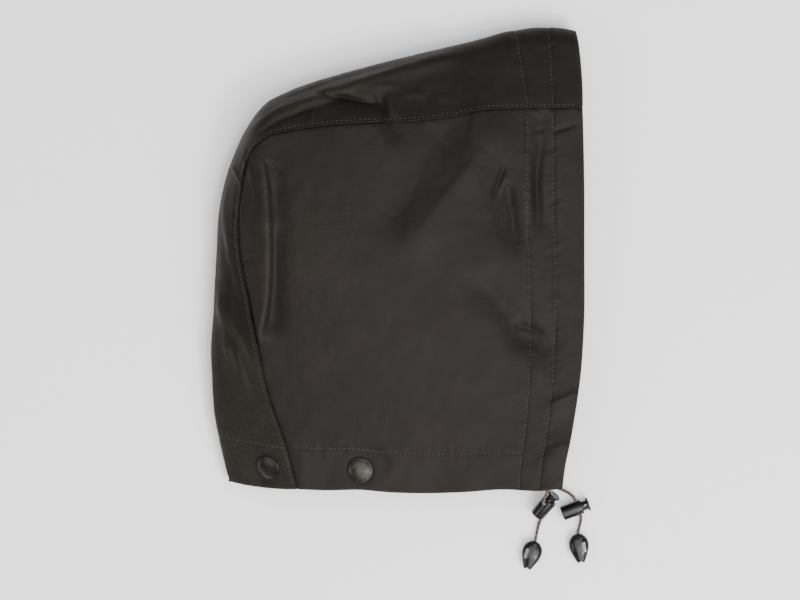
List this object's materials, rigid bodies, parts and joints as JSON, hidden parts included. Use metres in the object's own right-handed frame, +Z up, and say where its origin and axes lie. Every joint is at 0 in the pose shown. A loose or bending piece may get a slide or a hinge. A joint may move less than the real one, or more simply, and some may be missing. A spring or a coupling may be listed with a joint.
{
  "type": "detachable hood",
  "caption": "Detachable storm hood of waxed cotton lying on its side, with a gusset, a drawcord tunnel with sprung cord locks, and snaps along the neck hem.",
  "frame": {"origin": "on the floor, under the middle of the hood's cloth as it lies on its side", "axes": "+X from the nape towards the face opening, +Y from the neck hem towards the crown, +Z up from the floor through the far side panel to the near one"},
  "size_m": [0.267, 0.3808, 0.0455],
  "materials": {
    "waxed_panel": "waxed woven cotton, dark olive brown, worn paler on folds",
    "waxed_gusset": "waxed woven cotton, darker where it falls away from the light",
    "inner_cloth": "woven cotton facing, satin",
    "cord_yarn": "braided cord, matt brown",
    "gunmetal": "dark gunmetal plating, satin",
    "black_plastic": "moulded black plastic, semi-gloss"
  },
  "bodies": {
    "hood": {"side_panel_near": "waxed_panel", "side_panel_far": "waxed_panel", "gusset": "waxed_gusset", "face_casing": "inner_cloth", "neck_hem": "inner_cloth", "drawcord": "cord_yarn", "drawcord_tail_near": "cord_yarn", "drawcord_tail_far": "cord_yarn", "lock_barrel_near": "black_plastic", "lock_barrel_far": "black_plastic", "cord_end_near": "black_plastic", "cord_end_far": "black_plastic", "snap_cap_1": "gunmetal", "snap_cap_2": "gunmetal", "snap_cap_3": "gunmetal", "snap_cap_4": "gunmetal", "snap_socket_1": "gunmetal", "snap_socket_2": "gunmetal", "snap_socket_3": "gunmetal", "snap_socket_4": "gunmetal"},
    "plunger_near": {"lock_plunger_near": "black_plastic"},
    "plunger_far": {"lock_plunger_far": "black_plastic"}
  },
  "joints": [
    {"name": "push_near", "type": "slide", "parent": "hood", "child": "plunger_near", "axis": [-0.5985, -0.7391, -0.309], "range_m": [0, 0.0022], "stiffness_N_per_m": 500, "springref_m": -0.002},
    {"name": "push_far", "type": "slide", "parent": "hood", "child": "plunger_far", "axis": [-0.9379, -0.3469, 0], "range_m": [0, 0.0022], "stiffness_N_per_m": 500, "springref_m": -0.002}
  ]
}
